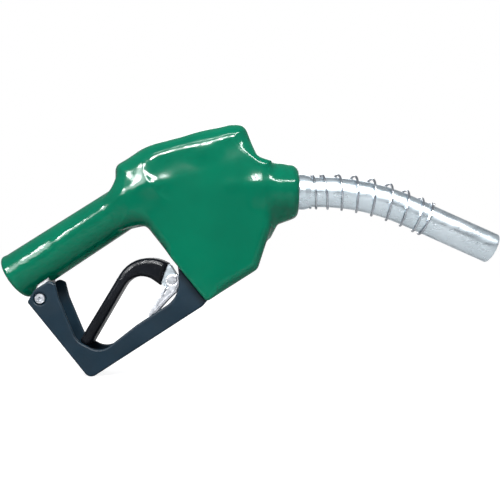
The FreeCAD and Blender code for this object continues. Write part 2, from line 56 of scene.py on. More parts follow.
HANDLE_ANGLE = math.radians(32.9)
HANDLE_R_REAR, HANDLE_R_FRONT, HANDLE_LENGTH = 18.6, 16.9, 125.0
INLET_R, INLET_DEPTH = 12.1, 20.0
BODY_HALF_WIDTH = 23.0
REAR_HALF_WIDTH = 17.4       # where the handle runs into the body
COVER_WALL = 2.3
SLOT_HALF_WIDTH = 12.7
INLET = (0.0, 0.0)
SPOUT_Z, SPOUT_R = 68.4, 12.0
SPOUT_BASE = (0.0, SPOUT_Z)
ADAPTER_NECK_R = 14.6
SPOUT_BEND_X, SPOUT_BEND_R, SPOUT_BEND_ANGLE = 241.0, 175.0, math.radians(24.2)
SPOUT_START_X, SPOUT_TIP_LENGTH, SPOUT_WALL = 214.0, 72.0, 1.5
COLLAR_R, COLLAR_FLARE, COLLAR_START_X, COLLAR_END_X = 21.7, 1.2, 186.0, 224.6
VALVE_TILT = math.radians(16.0)
FULCRUM = (178.0, 9.0)
VALVE_ARM = 44.0
GUARD_HALF_WIDTH, GUARD_WALL = 15.5, 3.0
GUARD_INNER_Y = GUARD_HALF_WIDTH - GUARD_WALL
LUG_HALF_WIDTH = 9.4
SCREW_R = 3.0
THROUGH = 30.0               # beyond any piece in Y, for holes that go right through
SLEEVE_HALF_WIDTH, LEVER_HALF_WIDTH = 10.0, 6.0
CLIP_INNER_Y, CLIP_PLATE = 7.0, 1.2
CLIP_PIVOT, RIVET_R = (125.6, -0.9), 2.0
CLIP_BAR, CLIP_BAR_R = (106.6, -31.6), 1.3
REAR_SCREW = (24.5, -15.3)
FRONT_SCREW = (150.0, 2.0)
COIL_WIRE_R = 0.95

# Outlines as (x, z, corner radius)
BODY_OUTLINE = [
    (80.5, 62, 0), (80.5, 88.6, 7.5), (109, 104.6, 80), (171, 120.0, 12),
    (182.5, 120.0, 8), (192.5, 94.5, 8), (203, 91.0, 0), (203, 40.0, 12), (192.5, 7.5, 8),
    (153.6, -17.2, 3.2), (104.5, 43.0, 13), (88, 43, 0)]
LEVER_SLOT = [
    (106, 16, 0), (113, 32, 0), (121, 28.1, 0), (131.8, 31.1, 0), (135.6, 17.8, 0),
    (166, 17.0, 0), (176, 20.6, 0), (192, 25.2, 0), (194.5, -20, 0), (140, -40, 0), (100, 0, 0)]
REAR_LUG = [
    (18.5, -9.5, 4), (24.5, 8, 0), (29.5, 10, 0), (29.5, -4, 0), (28.5, -20.5, 5),
    (19.5, -20.5, 4)]
GUARD_OUTER = [
    (14.6, -18.0, 2), (20, -8.6, 2), (31, -1.4, 4), (35.8, -3.6, 0), (70, 0, 0), (118, 0, 0),
    (129.9, 11.3, 0), (153.2, -17.2, 1), (150.2, -21.0, 6), (62.8, -77.4, 6)]
GUARD_HAND_EDGE = [
    (35.8, -3.0, 0), (39, -15.5, 0), (52.5, -47.5, 14), (71, -57.5, 14), (99, -35.6, 0),
    (131.5, -14.5, 22), (131.8, 1.0, 0), (130.3, 13.5, 0), (80, 22, 0)]
GUARD_CHANNEL = [
    (15.5, -20, 0), (22, 4, 0), (60, 10, 0), (132, 18, 0), (170, -20, 0), (150.8, -16.8, 4),
    (62.6, -73.6, 4)]
GUARD_EAR = [(139, -2, 0), (145, 6.5, 0), (156, 8, 3), (156, -8, 3), (147, -14, 3)]
SLEEVE_OUTLINE = [
    (52.5, -49.5, 4.2), (98.3, 26.2, 27), (122.4, 11.7, 0), (116.4, -5.4, 0),
    (96.6, 8.6, 15.6), (59.5, -55.5, 4.2)]
ARM_OUTLINE = [
    (57.5, -47.5, 2), (98.2, 20.5, 22), (123.9, 10.2, 3), (129.0, 1.9, 1.5), (172, 14.4, 0),
    (182, 13.0, 0), (182, 4.0, 0), (176, 1.8, 0), (150, -3.2, 0), (131, -8.3, 6),
    (121.5, -9.2, 3), (113.5, 0.6, 0), (97.3, 13.6, 17), (60.5, -50.5, 2)]
CLIP_OUTLINE = [
    (120.4, -2.5, 0), (121.6, 2.4, 4.0), (127.2, 3.4, 2.0), (130.3, 2.4, 0), (131.4, -4.5, 5),
    (129.2, -10.5, 10), (121.4, -17.8, 20), (107.6, -33.4, 0.8), (104.6, -33.0, 0.8),
    (119.3, -6.4, 0.6), (121.3, -6.6, 0)]
CLIP_SLIT = [(122.6, -5.8, 0), (119.6, -11.8, 0), (118.8, -11.4, 0), (121.8, -5.4, 0)]
CLIP_BEND = [(115.0, -14.6, 0), (116.4, -15.4, 0), (109.2, -28.6, 0), (107.8, -27.8, 0)]


# ------------------------------------------------------------------ distance fields

ARC_STEPS = 10


def rounded(points):
    """Polygon through (x, z, radius) corners, each corner drawn as an arc."""
    corners = np.array([p[:2] for p in points], float)
    path = []
    for i, (_, _, radius) in enumerate(points):
        here = corners[i]
        before = corners[i - 1] - here
        after = corners[(i + 1) % len(points)] - here
        before /= np.linalg.norm(before)
        after /= np.linalg.norm(after)
        if radius == 0:
            path.append(here)
            continue
        half = math.acos(float(np.clip(before @ after, -1, 1))) / 2
        middle = (before + after) / np.linalg.norm(before + after)
        centre = here + middle * radius / math.sin(half)
        first = here + before * radius / math.tan(half) - centre
        last = here + after * radius / math.tan(half) - centre
        start = math.atan2(first[1], first[0])
        sweep = math.atan2(last[1], last[0]) - start
        sweep = (sweep + math.pi) % (2 * math.pi) - math.pi
        for k in range(ARC_STEPS + 1):
            angle = start + sweep * k / ARC_STEPS
            path.append(centre + radius * np.array([math.cos(angle), math.sin(angle)]))
    return np.array(path)


def path_distance(x, z, path, closed=True):
    """Distance to a path in the XZ plane, negative inside a closed one."""
    best = np.full(np.broadcast(x, z).shape, 1e12)
    inside = np.zeros(best.shape, bool)
    ends = np.roll(path, -1, axis=0) if closed else path[1:]
    for (ax, az), (bx, bz) in zip(path, ends):
        ex, ez = bx - ax, bz - az
        along = np.clip(((x - ax) * ex + (z - az) * ez) / max(ex * ex + ez * ez, 1e-9), 0, 1)
        best = np.minimum(best, (x - ax - along * ex) ** 2 + (z - az - along * ez) ** 2)
        if closed and az != bz:
            crosses = ((az > z) != (bz > z)) & (x < ax + (z - az) * ex / (bz - az))
            inside ^= crosses
    best = np.sqrt(best)
    return np.where(inside, -best, best) if closed else best


def join(a, b, reach):
    """Smooth union: the two fields flow into each other within reach."""
    blend = np.maximum(reach - np.abs(a - b), 0) / reach
    return np.minimum(a, b) - blend * blend * reach / 4


def meet(a, b, reach):
    """Smooth intersection."""
    return -join(-a, -b, reach)


def cut(a, b, reach):
    """Smooth difference a - b."""
    return meet(a, -b, reach)


def rounded_meet(u, v, edge):
    """Intersection whose rim is an arc of radius edge."""
    u, v = u + edge, v + edge
    return np.minimum(np.maximum(u, v), 0) + np.hypot(np.maximum(u, 0), np.maximum(v, 0)) - edge


def span(value, low, high):
    """Distance outside the range from low to high, negative inside it."""
    return np.abs(value - (low + high) / 2) - (high - low) / 2


def slab(profile, y, half, edge):
    """Extrusion of a 2-D field to +-half in Y with rounded rims."""
    return rounded_meet(profile, np.abs(y) - half, edge)


def axis_frame(x, y, z, origin, angle):
    """Height along and distance from an axis in the XZ plane, angle above +X."""
    dx, dz = x - origin[0], z - origin[1]
    along = dx * math.cos(angle) + dz * math.sin(angle)
    across = -dx * math.sin(angle) + dz * math.cos(angle)
    return along, np.hypot(across, y)


def rod_field(x, y, z, origin, angle, radius, low, high, edge):
    """Cylinder between two heights on an axis in the XZ plane."""
    along, away = axis_frame(x, y, z, origin, angle)
    return rounded_meet(away - radius, span(along, low, high), edge)


def cross_field(x, y, z, point, radius, y0, y1, edge=0.0):
    """Cylinder along Y through a point."""
    return rounded_meet(np.hypot(x - point[0], z - point[1]) - radius, span(y, y0, y1), edge)


def ease(value, low, high):
    """Smooth step from 0 at low to 1 at high."""
    t = np.clip((value - low) / (high - low), 0, 1)
    return t * t * (3 - 2 * t)


# ------------------------------------------------------------------ level sets to meshes

PULLS = 4                    # passes that bring the vertices onto the exact surface
PULL_REACH = 0.02            # half the distance over which a field's slope is measured
LEAST_STEEP = 0.05           # squared slope below which a field counts as flat


def level_set(field, low, high, step):
    """Vertices and quads of a field's zero level, pulled onto the exact surface."""
    axes = [np.arange(low[i], high[i] + step, step) for i in range(3)]
    values = field(axes[0][:, None, None], axes[1][None, :, None], axes[2][None, None, :])
    inside = values < 0
    cells = tuple(n - 1 for n in values.shape)
    corners = list(itertools.product((0, 1), repeat=3))
    total = sum(inside[a:a + cells[0], b:b + cells[1], c:c + cells[2]].astype(np.int8)
                for a, b, c in corners)
    active = (total > 0) & (total < 8)
    number = np.full(cells, -1)
    number[active] = np.arange(int(active.sum()))
    where = np.argwhere(active)
    place, count = np.zeros((len(where), 3)), np.zeros((len(where), 1))
    for one, two in itertools.combinations(corners, 2):
        if sum(abs(p - q) for p, q in zip(one, two)) != 1:
            continue
        a = values[tuple((where + one).T)]
        b = values[tuple((where + two).T)]
        share = np.where(a == b, 0.5, a / np.where(a == b, 1, a - b))[:, None]
        crossed = ((a < 0) != (b < 0))[:, None]
        spot = np.array(one) + share * (np.array(two) - np.array(one))
        place += np.where(crossed, spot, 0)
        count += crossed
    verts = np.array(low) + step * (where + place / count)

    quads = []
    for axis in range(3):
        side, up = np.eye(3, dtype=int)[[(axis + 1) % 3, (axis + 2) % 3]]
        here, ahead = [slice(None)] * 3, [slice(None)] * 3
        here[axis], ahead[axis] = slice(None, -1), slice(1, None)
        spots = np.argwhere(inside[tuple(here)] != inside[tuple(ahead)])
        loop = [number[tuple((spots - back).T)] for back in (side + up, up, 0 * up, side)]
        quad = np.stack(loop, axis=1)
        outward = ~inside[tuple(spots.T)]
        quad[outward] = quad[outward, ::-1]
        quads.append(quad)
    quads = np.concatenate(quads)
    for _ in range(PULLS):
        verts = pull(field, verts, step)
    return verts, quads


def pull(field, verts, step):
    """Move points along the field's slope towards its zero level."""
    x, y, z = verts.T
    here, reach = field(x, y, z), PULL_REACH
    slope = np.stack([field(x + reach, y, z) - field(x - reach, y, z),
                      field(x, y + reach, z) - field(x, y - reach, z),
                      field(x, y, z + reach) - field(x, y, z - reach)], axis=1) / (2 * reach)
    steep = np.maximum((slope ** 2).sum(axis=1), LEAST_STEEP)
    move = slope * (here / steep)[:, None]
    size = np.maximum(np.linalg.norm(move, axis=1, keepdims=True), 1e-9)
    return verts - move * np.minimum(1, step * 0.5 / size)


def new_object(name, data):
    """Object with its data, linked to the scene."""
    made = bpy.data.objects.new(name, data)
    bpy.context.scene.collection.objects.link(made)
    return made


def make_piece(name, verts, faces, finish, body):
    """Smooth mesh object in metres that rides on a CAD body and has one finish."""
    mesh = bpy.data.meshes.new(name)
    faces = faces.tolist() if isinstance(faces, np.ndarray) else faces
    mesh.from_pydata((np.array(verts) * MM).tolist(), [], faces)
    mesh.validate()
    mesh.polygons.foreach_set("use_smooth", [True] * len(mesh.polygons))
    mesh.materials.append(FINISHES[finish])
    piece = new_object(name, mesh)
    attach(piece, body)
    return piece


def mould(name, field, low, high, step, finish, body, node):
    """Piece made from a field inside a box, in place of a CAD node."""
    verts, quads = level_set(field, low, high, step)
    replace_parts(make_piece(name, verts, quads, finish, body), node)


# ------------------------------------------------------------------ materials

CREASED_X, SMOOTH_X = 0.045, 0.085


class Finish:
    """Node helper for one procedural material."""

    def __init__(self, name, roughness, metallic=0.0, spec=0.5):
        self.made = bpy.data.materials.new(name)
        self.made.use_nodes = True
        self.tree = self.made.node_tree
        self.shader = self.tree.nodes["Principled BSDF"]
        self.set("Roughness", roughness)
        self.set("Metallic", metallic)
        self.set("Specular IOR Level", spec)
        self.coords = self.node("ShaderNodeTexCoord").outputs["Object"]
        self.last_bump = None

    def set(self, socket, value):
        self.shader.inputs[socket].default_value = value

    def node(self, kind, **values):
        made = self.tree.nodes.new(kind)
        for key, value in values.items():
            setattr(made, key, value)
        return made

    def link(self, out, into):
        self.tree.links.new(out, into)

    def noise(self, scale, detail=4.0, stretch=(1, 1, 1)):
        """Noise between 0 and 1 in the piece's own coordinates."""
        mapping = self.node("ShaderNodeMapping")
        mapping.inputs["Scale"].default_value = stretch
        self.link(self.coords, mapping.inputs["Vector"])
        noise = self.node("ShaderNodeTexNoise")
        noise.inputs["Scale"].default_value = scale
        noise.inputs["Detail"].default_value = detail
        self.link(mapping.outputs["Vector"], noise.inputs["Vector"])
        return noise.outputs["Fac"]

    def towards_rear(self, value):
        """Fade a value in along the handle, where gripping has creased the vinyl (metres)."""
        place = self.node("ShaderNodeSeparateXYZ")
        self.link(self.coords, place.inputs["Vector"])
        fade = self.node("ShaderNodeMapRange", interpolation_type="SMOOTHSTEP")
        fade.inputs["From Min"].default_value = SMOOTH_X
        fade.inputs["From Max"].default_value = CREASED_X
        self.link(place.outputs["X"], fade.inputs["Value"])
        product = self.node("ShaderNodeMath", operation="MULTIPLY")
        self.link(fade.outputs["Result"], product.inputs[0])
        self.link(value, product.inputs[1])
        return product.outputs["Value"]

    def colour(self, value, stops):
        """Base colour that changes with a value, from (position, colour) stops."""
        ramp = self.node("ShaderNodeValToRGB")
        elements = ramp.color_ramp.elements
        while len(elements) < len(stops):
            elements.new(0.5)
        for element, (position, colour) in zip(elements, stops):
            element.position = position
            element.color = (*colour, 1)
        self.link(value, ramp.inputs["Fac"])
        self.link(ramp.outputs["Color"], self.shader.inputs["Base Color"])

    def vary_roughness(self, value, low, high):
        """Roughness that changes with a noise value."""
        spread = self.node("ShaderNodeMapRange")
        spread.inputs["From Min"].default_value = 0.3
        spread.inputs["From Max"].default_value = 0.7
        spread.inputs["To Min"].default_value = low
        spread.inputs["To Max"].default_value = high
        self.link(value, spread.inputs["Value"])
        self.link(spread.outputs["Result"], self.shader.inputs["Roughness"])

    def bump(self, value, strength, distance):
        """Relief in metres, added on top of the reliefs made before it."""
        bump = self.node("ShaderNodeBump")
        bump.inputs["Strength"].default_value = strength
        bump.inputs["Distance"].default_value = distance
        self.link(value, bump.inputs["Height"])
        if self.last_bump:
            self.link(self.last_bump, bump.inputs["Normal"])
        self.last_bump = bump.outputs["Normal"]
        self.link(self.last_bump, self.shader.inputs["Normal"])


def green_vinyl():
    finish = Finish("green_vinyl", 0.14, spec=0.22)
    finish.colour(finish.noise(22, 3), [(0.35, (0.0, 0.128, 0.069)), (0.7, (0.0, 0.152, 0.081))])
    finish.vary_roughness(finish.noise(60, 5), 0.09, 0.17)
    finish.bump(finish.noise(38, 2), 0.2, 0.0008)
    finish.bump(finish.towards_rear(finish.noise(75, 3, (0.6, 1, 1))), 0.5, 0.0014)
    finish.bump(finish.noise(420, 3), 0.06, 0.0001)
    return finish.made


def black_moulding():
    finish = Finish("black_moulding", 0.42, spec=0.16)
    finish.colour(finish.noise(30, 4), [(0.3, (0.005, 0.019, 0.033)), (0.75, (0.009, 0.029, 0.049))])
    finish.vary_roughness(finish.noise(90, 5), 0.36, 0.50)
    finish.bump(finish.noise(1400, 4), 0.35, 0.00016)
    return finish.made


def black_grip():
    finish = Finish("black_grip", 0.2, spec=0.16)
    finish.colour(finish.noise(40, 4), [(0.3, (0.004, 0.005, 0.007)), (0.8, (0.010, 0.012, 0.017))])
    finish.vary_roughness(finish.noise(120, 5), 0.16, 0.30)
    finish.bump(finish.noise(700, 4), 0.2, 0.00015)
    return finish.made


def metal(name, dark, light, rough, grain=(1, 1, 1), grain_scale=300, depth=0.00004, blotch=40):
    """Metal with soft blotches of colour and a grain of a given stretch, scale and depth."""
    finish = Finish(name, rough[0], metallic=1.0, spec=0.5)
    finish.colour(finish.noise(blotch, 5), [(0.3, dark), (0.7, light)])
    finish.vary_roughness(finish.noise(grain_scale * 0.6, 4, grain), rough[0], rough[1])
    finish.bump(finish.noise(grain_scale, 4, grain), 0.3, depth)
    return finish.made


def soft_part(name, dark, light, rough):
    """Rubber or plastic with a fine matt grain."""
    finish = Finish(name, rough[0], spec=0.4)
    finish.colour(finish.noise(60, 4), [(0.3, dark), (0.7, light)])
    finish.vary_roughness(finish.noise(150, 4), rough[0], rough[1])
    finish.bump(finish.noise(900, 3), 0.2, 0.0001)
    return finish.made


FINISHES = {
    "green_vinyl": green_vinyl(),
    "black_moulding": black_moulding(),
    "black_grip": black_grip(),
    "machined_aluminium": metal("machined_aluminium", (0.66, 0.76, 0.82), (0.80, 0.89, 0.95),
                                (0.24, 0.36), (1, 4, 4), 130, 0.000012, 24),
    "cast_aluminium": metal("cast_aluminium", (0.45, 0.46, 0.47), (0.62, 0.63, 0.64),
                            (0.42, 0.6), (1, 1, 1), 900, 0.0002, 60),
    "bright_zinc": metal("bright_zinc", (0.52, 0.54, 0.58), (0.68, 0.70, 0.74),
                         (0.26, 0.42), (1, 1, 1), 420, 0.00006, 180),
    "spring_steel": metal("spring_steel", (0.42, 0.45, 0.50), (0.66, 0.70, 0.75),
                          (0.14, 0.26), (1, 1, 1), 500, 0.00003, 90),
    "stainless_steel": metal("stainless_steel", (0.55, 0.56, 0.58), (0.70, 0.71, 0.73),
                             (0.2, 0.3), (1, 1, 8), 300, 0.00003, 50),
    "brass": metal("brass", (0.60, 0.42, 0.16), (0.78, 0.58, 0.26), (0.2, 0.34), (1, 1, 8), 300),
    "seal_rubber": soft_part("seal_rubber", (0.008, 0.008, 0.009), (0.02, 0.02, 0.021), (0.5, 0.7)),
    "acetal": soft_part("acetal", (0.62, 0.60, 0.54), (0.74, 0.72, 0.66), (0.3, 0.42)),
}

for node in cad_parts.values():
    for holder in node.material_slots:
        base = holder.material.name.split(".")[0] if holder.material else ""
        if base in FINISHES:
            holder.material = FINISHES[base]


# ------------------------------------------------------------------ vinyl cover

BODY_PATH = rounded(BODY_OUTLINE)
SLOT_PATH = rounded(LEVER_SLOT)
LUG_PATH = rounded(REAR_LUG)
HANDLE_RIDGE = np.array([(40, 30), (66, 50), (84, 64), (103, 72), (124, 74)], float)
COLLAR_RIDGE = np.array([(171, 72), (196, 73), (224, 74)], float)
GUSSET_PATH = rounded([(192, 62, 0), (213, 62, 0), (216, 47.2, 0), (208.5, 43.0, 4), (202, 33, 0),
                       (192, 33, 0)])
SEAM = np.array([(129.9, 11.3), (153.6, -17.2)])

# Rim radius of the cover's sides: tight at the guard's seam, roundest on the crown and the waist
SEAM_EDGE, SIDE_EDGE, SOFTER_EDGE = 1.6, 7.0, 6.5
SEAM_REACH = (3, 16)
# The crown begins at a height that rises towards the front; the waist widens towards the front
CROWN_SLOPE, CROWN_FROM_X, CROWN_RANGE, CROWN_INSET = 0.28, 100, (66, 84), 1.3
WAIST_RANGE = (72, 132)
# Swellings over the two valves
BOSS_ROUNDING, BOSS_FOOT_ROUNDING, BOSS_JOIN, BOSS_SUNK = 22.0, 14.0, 5.0, 0.4
# Handle: rolled lip at the mouth, and a join that is wider on the sides than above and below
LIP_HEIGHT, LIP_PLACE, LIP_WIDTH, MOUTH_ROUNDING = 0.45, 2.4, 2.0, 3.2
HANDLE_JOIN, HANDLE_JOIN_SIDE, HANDLE_JOIN_RANGE = 4.0, 11.0, (4, 14)
# Collar, and the gusset under it
FLARE_RANGE, COLLAR_EDGE, COLLAR_JOIN, GUSSET_JOIN = (210, 219), 6.0, 7.0, 6.0
GUSSET_HALF_WIDTH, GUSSET_EDGE = 13.0, 8.0
# Low soft ridges on the sides, along the handle and the collar
RIDGE_HEIGHT, RIDGE_RANGE = 0.6, (6, 15)
HANDLE_RIDGE_WIDTH, COLLAR_RIDGE_WIDTH = 5.5, 5.0
MAIN_FOOT = (FULCRUM[0] - VALVE_ARM * math.cos(VALVE_TILT),
             FULCRUM[1] - VALVE_ARM * math.sin(VALVE_TILT))
VALVE_AXIS = math.pi / 2 + VALVE_TILT
BOSSES = ((MAIN_FOOT, 21.3, 70), (FULCRUM, 22.9, 82))    # foot, radius, height where it begins


def ridge(x, z, path, width):
    """1 on a path, fading to 0 within about twice the width."""
    return np.exp(-(path_distance(x, z, path, False) / width) ** 2)


def cover_form(x, y, z, rear):
    """Outer form of the cover; rear is where the handle ends along its axis."""
    body = path_distance(x, z, BODY_PATH)
    crown = ease(z - CROWN_SLOPE * (x - CROWN_FROM_X), *CROWN_RANGE)
    waist = ease(x, *WAIST_RANGE)
    half = REAR_HALF_WIDTH + (BODY_HALF_WIDTH - REAR_HALF_WIDTH) * waist - CROWN_INSET * crown
    seam = ease(path_distance(x, z, SEAM, False), *SEAM_REACH)
    edge = SEAM_EDGE + (SIDE_EDGE + SOFTER_EDGE * np.maximum(crown, 1 - waist) - SEAM_EDGE) * seam
    form = slab(body, y, half, edge)
    for foot, radius, low in BOSSES:
        along, away = axis_frame(x, y, z, foot, VALVE_AXIS)
        boss = meet(away - radius, body + BOSS_SUNK, BOSS_ROUNDING)
        form = join(form, meet(boss, low - along, BOSS_FOOT_ROUNDING), BOSS_JOIN)
    along, away = axis_frame(x, y, z, INLET, HANDLE_ANGLE)
    radius = HANDLE_R_REAR + (HANDLE_R_FRONT - HANDLE_R_REAR) * along / HANDLE_LENGTH
    lip = LIP_HEIGHT * np.exp(-((along - LIP_PLACE) / LIP_WIDTH) ** 2)
    handle = meet(away - radius - lip, rear - along, MOUTH_ROUNDING)
    reach = HANDLE_JOIN + HANDLE_JOIN_SIDE * ease(np.abs(y), *HANDLE_JOIN_RANGE)
    form = join(form, np.maximum(handle, along - HANDLE_LENGTH), reach)
    radius = COLLAR_R + COLLAR_FLARE * (1 - ease(x, *FLARE_RANGE))
    collar = rod_field(x, y, z, SPOUT_BASE, 0.0, radius, COLLAR_START_X, COLLAR_END_X, COLLAR_EDGE)
    gusset = slab(path_distance(x, z, GUSSET_PATH), y, GUSSET_HALF_WIDTH, GUSSET_EDGE)
    form = join(form, join(collar, gusset, GUSSET_JOIN), COLLAR_JOIN)
    swell = ridge(x, z, HANDLE_RIDGE, HANDLE_RIDGE_WIDTH)
    swell = swell + ridge(x, z, COLLAR_RIDGE, COLLAR_RIDGE_WIDTH)
    return form - RIDGE_HEIGHT * swell * ease(np.abs(y), *RIDGE_RANGE)


def cover_field(x, y, z):
    """Vinyl shell, open at the inlet, the lever's slot, the rear lug and the spout."""
    inner = cover_form(x, y, z, -THROUGH) + COVER_WALL
    shell = cut(cover_form(x, y, z, 0.0), inner, 0.7)
    slot = slab(path_distance(x, z, SLOT_PATH), y, SLOT_HALF_WIDTH, 0.1)
    lug = slab(path_distance(x, z, LUG_PATH), y, LUG_HALF_WIDTH + 0.1, 0.1)
    mouth = rod_field(x, y, z, SPOUT_BASE, 0.0, ADAPTER_NECK_R, 205, 240, 0.1)
    shell = cut(cut(shell, slot, 0.8), lug, 0.8)
    return cut(shell, mouth, 1.6)


mould("body_skin", cover_field, (-14.3, -26.1, -20.2), (228.5, 26.3, 124.0),
      0.95, "green_vinyl", "nozzle_body", "body_cover")


# ------------------------------------------------------------------ casting

# Axis of each set of bores, and (radius, start, end) of each bore
CASTING_BORES = (
    (FULCRUM, VALVE_AXIS, ((8.2, 8, 78), (12.0, 76.6, 100), (20.7, 96.9, 108))),
    (MAIN_FOOT, VALVE_AXIS, ((5.6, 30, 47), (14.1, 47, 99), (17.3, 94, 106))),
    (SPOUT_BASE, 0.0, ((13.3, 128, 240), (16.1, 202, 240))),
    (INLET, HANDLE_ANGLE, ((INLET_R, -8, INLET_DEPTH), (9.5, 0, 126))))


def casting_field(x, y, z):
    """The casting inside the cover, with the bores that the working parts sit in."""
    form = cover_form(x, y, z, 0.0) + COVER_WALL + 0.1
    form = join(form, slab(path_distance(x, z, LUG_PATH), y, LUG_HALF_WIDTH, 0.6), 1.5)
    form = cut(form, slab(path_distance(x, z, SLOT_PATH), y, SLOT_HALF_WIDTH - 0.1, 0.1), 0.8)
    for place, angle, bores in CASTING_BORES:
        for radius, start, end in bores:
            form = cut(form, rod_field(x, y, z, place, angle, radius, start, end, 0.2), 0.6)
    form = cut(form, cross_field(x, y, z, REAR_SCREW, SCREW_R, -THROUGH, THROUGH), 0.3)
    return cut(form, cross_field(x, y, z, FRONT_SCREW, 4.7, -THROUGH, THROUGH), 0.3)


mould("casting_body", casting_field, (-12.3, -23.1, -22.2), (226.5, 23.3, 120.0),
      1.5, "cast_aluminium", "nozzle_body", "body_casting")


# ------------------------------------------------------------------ guard

GUARD_PATHS = [rounded(p) for p in (GUARD_OUTER, GUARD_HAND_EDGE, GUARD_CHANNEL, GUARD_EAR)]
GUARD_HOLES = (              # centre, radius, first and last Y, rounding of the rim
    (REAR_SCREW, SCREW_R + 0.05, -THROUGH, THROUGH, 0.3),
    (FRONT_SCREW, 2.5, -THROUGH, THROUGH, 0.3),
    (REAR_SCREW, 5.0, -THROUGH, -13.2, 0.5),
    (REAR_SCREW, 5.9, 12.2, THROUGH, 0.5))


def guard_field(x, y, z):
    """U-shaped channel, open towards the hand, with two front ears and screw bosses."""
    outer, hand, channel, ear = (path_distance(x, z, p) for p in GUARD_PATHS)
    profile = cut(outer, hand, 0.6)
    body = slab(profile, y, GUARD_HALF_WIDTH, 1.1)
    form = cut(body, np.maximum(channel, np.abs(y) - GUARD_INNER_Y), 0.8)
    ears = np.maximum(ear, span(np.abs(y), GUARD_INNER_Y - 3.0, GUARD_INNER_Y))
    boss_end = GUARD_INNER_Y + 0.5
    boss = np.maximum(cross_field(x, y, z, REAR_SCREW, 6.0, -boss_end, boss_end),
                      LUG_HALF_WIDTH + 0.1 - np.abs(y))
    form = join(np.minimum(form, ears), boss, 0.8)
    for point, radius, start, end, rounding in GUARD_HOLES:
        form = cut(form, cross_field(x, y, z, point, radius, start, end), rounding)
    return form


mould("guard_moulding", guard_field, (12.1, -17.2, -79.3), (158.2, 17.3, 14.9),
      0.85, "black_moulding", "nozzle_body", "lever_guard")


# ------------------------------------------------------------------ lever sleeve and clip

SLEEVE_PATH, ARM_PATH = rounded(SLEEVE_OUTLINE), rounded(ARM_OUTLINE)
SLEEVE_BACK = rounded([(54, -47, 0), (98.3, 26.2, 27), (124, 10.9, 0)])[1:]


def sleeve_field(x, y, z):
    """Grip sleeve with a moulded groove that follows its back."""
    profile = path_distance(x, z, SLEEVE_PATH)
    back = path_distance(x, z, SLEEVE_BACK, False)
    form = slab(profile, y, SLEEVE_HALF_WIDTH, 4.0)
    side = ease(np.abs(y), 5.5, 7.5)
    groove = np.exp(-((back - 3.1) / 0.42) ** 2) - 0.8 * np.exp(-((back - 4.3) / 0.7) ** 2)
    form = form + 0.34 * groove * side * ease(x, 70, 84)
    return cut(form, slab(path_distance(x, z, ARM_PATH), y, LEVER_HALF_WIDTH, 0.1), 0.4)


mould("lever_grip", sleeve_field, (49.2, -11.6, -58.4), (125.3, 11.7, 28.6), 0.7,
      "black_grip", "lever", "lever_sleeve")

CLIP_PATHS = [rounded(p) for p in (CLIP_OUTLINE, CLIP_SLIT, CLIP_BEND)]


def clip_field(x, y, z):
    """Two pressed plates with a slit, a bend between them and a bar at the tip."""
    side, slit, bend = (path_distance(x, z, p) for p in CLIP_PATHS)
    width = CLIP_INNER_Y + CLIP_PLATE
    head = np.hypot(x - CLIP_PIVOT[0], z - CLIP_PIVOT[1])
    press = 0.22 * np.exp(-((head - 4.1) / 0.5) ** 2) - 0.16 * np.exp(-((side + 1.9) / 0.5) ** 2)
    plates = slab(side, y, width, 0.45) + press * ease(np.abs(y), 7.4, 7.9)
    plates = meet(plates, CLIP_INNER_Y - np.abs(y), 0.3)
    plates = cut(plates, slit, 0.3)
    plates = join(plates, slab(bend, y, width - 0.2, 0.3), 0.5)
    bar = cross_field(x, y, z, CLIP_BAR, CLIP_BAR_R, -width, width, 0.3)
    return cut(join(plates, bar, 0.5), head - RIVET_R - 0.05, 0.2)


mould("clip_plates", clip_field, (102.4, -9.2, -35.1), (133.1, 9.25, 5.3), 0.36,
      "bright_zinc", "clip", "hold_open_clip")


# ------------------------------------------------------------------ spout

def spout_point(travel):
    """Point and direction (x, z) on the spout's axis, travel measured from the bend's start."""
    angle = min(max(travel, 0) / SPOUT_BEND_R, SPOUT_BEND_ANGLE)
    rest = travel - angle * SPOUT_BEND_R if travel > 0 else travel
    x = SPOUT_BEND_X + SPOUT_BEND_R * math.sin(angle) + rest * math.cos(angle)
    z = SPOUT_Z - SPOUT_BEND_R * (1 - math.cos(angle)) - rest * math.sin(angle)
    return (x, z), (math.cos(angle), -math.sin(angle))


def on_ring(travel, radius, turn, lift=0.0):
    """Point around the spout: turn 0 is on top, a quarter turn is at -Y."""
    (x, z), (dx, dz) = spout_point(travel)
    up = radius * math.cos(turn) + lift
    return x - dz * up, -radius * math.sin(turn), z + dx * up


def ring_faces(count, sides, closed=False):
    """Quads between count rings of sides points each."""
    faces = []
    for i in range(count if closed else count - 1):
        for k in range(sides):
            after = (k + 1) % sides
            first, second = i * sides, (i + 1) % count * sides
            faces.append((first + k, first + after, second + after, second + k))
    return faces


SPOUT_END = SPOUT_BEND_R * SPOUT_BEND_ANGLE + SPOUT_TIP_LENGTH
SPOUT_SIDES = 96


def spout_profile():
    """(travel, radius) round the wall: outside to the tip, over the lip, back inside."""
    start, wall = SPOUT_START_X - SPOUT_BEND_X, SPOUT_WALL
    stations = list(np.linspace(start, SPOUT_END - 2.0, 70))
    outside = [(s, SPOUT_R) for s in stations]
    lip_r = wall / 2
    lip = [(SPOUT_END - lip_r + lip_r * math.sin(a), SPOUT_R - lip_r + lip_r * math.cos(a))
           for a in np.linspace(0, math.pi, 9)]
    inside = [(s, SPOUT_R - wall) for s in reversed(stations)]
    return outside + lip + inside


profile = spout_profile()
verts = [on_ring(s, r, 2 * math.pi * k / SPOUT_SIDES) for s, r in profile
         for k in range(SPOUT_SIDES)]
tube = make_piece("spout_shell", verts, ring_faces(len(profile), SPOUT_SIDES, True),
                  "machined_aluminium", "nozzle_body")
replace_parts(tube, "spout_tube")

